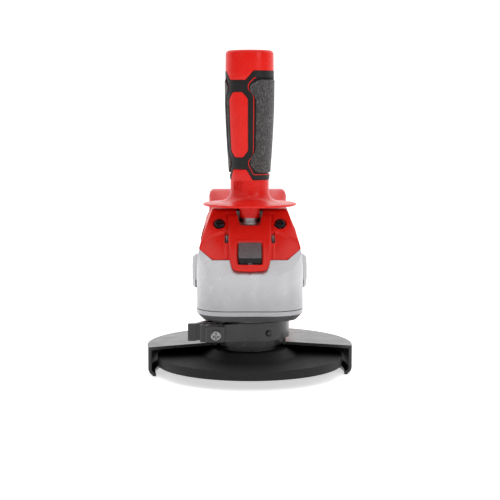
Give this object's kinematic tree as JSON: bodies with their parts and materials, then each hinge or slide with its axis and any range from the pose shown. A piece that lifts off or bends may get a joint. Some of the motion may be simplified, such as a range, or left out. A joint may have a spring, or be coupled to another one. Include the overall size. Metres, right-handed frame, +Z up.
{
  "type": "angle grinder",
  "caption": "Small corded angle grinder for a 125 mm disc, with gear head, open-front guard, spindle lock and a screw-in grip handle standing on the head.",
  "frame": {"origin": "centre of the two spanner holes on the clamp nut's outer face, on the spindle axis", "axes": "+Z up the spindle away from the disc, +Y back along the motor to the cord inlet, +X to the right seen from the disc end"},
  "size_m": [0.1386, 0.3245, 0.2175],
  "materials": {
    "cast_silver": "painted satin",
    "hood_red": "satin moulded",
    "housing_red": "satin moulded",
    "handle_red": "satin moulded",
    "black_rubber": "matt",
    "grained_rubber": "grained",
    "black_plastic": "matt",
    "button_grey": "textured",
    "black_steel": "gloss black",
    "dark_steel": "blackened",
    "bright_steel": "machined",
    "zinc_steel": "zinc plated",
    "abrasive": "gritty resin",
    "laminations": "stacked sheet",
    "copper_coil": "varnished wire",
    "commutator_copper": "turned",
    "carbon": "matt",
    "brass": "drawn",
    "gasket_paper": "pressed fibre",
    "white_plastic": "moulded"
  },
  "bodies": {
    "gear_head": {"gear_case": "cast_silver", "gear_case_cover": "cast_silver", "case_gasket": "gasket_paper", "head_cover": "hood_red", "head_cover_screws": "dark_steel", "cover_screws": "dark_steel", "gear_case_screws": "zinc_steel", "spindle_bearing": "bright_steel", "bearing_circlip": "dark_steel", "spindle_bush": "brass", "pinion_bearing": "bright_steel", "bearing_plate": "zinc_steel", "bearing_plate_screws": "zinc_steel", "motor_housing": "housing_red", "air_baffle": "black_plastic", "stator_core": "laminations", "stator_coils": "copper_coil", "brush_holders": "brass", "carbon_brushes": "carbon", "brush_springs": "bright_steel", "brush_caps": "black_plastic", "rear_bearing": "bright_steel", "bearing_sleeve": "black_rubber", "rear_handle_left": "housing_red", "rear_handle_right": "housing_red", "rear_handle_screws": "dark_steel", "side_grips": "grained_rubber", "switch_module": "black_plastic", "capacitor": "white_plastic", "terminal_block": "white_plastic", "cord_bush": "black_rubber"},
    "spindle": {"spindle": "bright_steel", "crown_gear": "bright_steel", "gear_circlip": "dark_steel", "inner_flange": "dark_steel", "grinding_disc": "abrasive", "clamp_nut": "dark_steel"},
    "armature": {"armature_shaft": "bright_steel", "pinion": "bright_steel", "fan": "black_plastic", "armature_core": "laminations", "armature_windings": "copper_coil", "commutator": "commutator_copper"},
    "guard": {"guard_shell": "black_steel", "guard_band": "black_steel", "clamp_block": "black_steel", "clamp_screw": "zinc_steel", "band_rivets": "dark_steel"},
    "spindle_lock": {"lock_button": "button_grey", "lock_pin": "bright_steel", "lock_spring": "bright_steel"},
    "switch": {"switch_knob": "black_plastic", "switch_rod": "black_plastic"},
    "handle_washer": {"handle_washer": "zinc_steel"},
    "side_handle": {"handle_core": "handle_red", "handle_overmould": "black_rubber", "handle_grips": "grained_rubber", "handle_stud": "zinc_steel"}
  },
  "joints": [
    {"name": "spindle_spin", "type": "hinge", "parent": "gear_head", "child": "spindle", "pos_m": [0, 0, 0.02], "axis": [0, 0, 1], "continuous": true},
    {"name": "armature_spin", "type": "hinge", "parent": "gear_head", "child": "armature", "pos_m": [0, 0.1, 0.066], "axis": [0, 1, 0], "continuous": true},
    {"name": "guard_turn", "type": "hinge", "parent": "gear_head", "child": "guard", "pos_m": [0, 0, 0.025], "axis": [0, 0, 1], "range_deg": [-90, 90]},
    {"name": "lock_press", "type": "slide", "parent": "gear_head", "child": "spindle_lock", "axis": [0, 0, -1], "range_m": [0, 0.005], "stiffness_N_per_m": 800, "springref_m": -0.003, "deforming": ["lock_spring"]},
    {"name": "switch_slide", "type": "slide", "parent": "gear_head", "child": "switch", "axis": [0, -1, 0], "range_m": [0, 0.007]},
    {"name": "handle_turn", "type": "hinge", "parent": "handle_washer", "child": "side_handle", "pos_m": [0, 0.006, 0.11], "axis": [0, 0, 1], "range_deg": [0, 3600]},
    {"name": "handle_lift", "type": "slide", "parent": "gear_head", "child": "handle_washer", "axis": [0, 0, 1], "range_m": [0, 0.0125]}
  ],
  "couplings": [
    {"joint": "armature_spin", "follows": "spindle_spin", "ratio": 3.1818},
    {"joint": "handle_turn", "follows": "handle_lift", "rad_per_m": 5026.5}
  ]
}
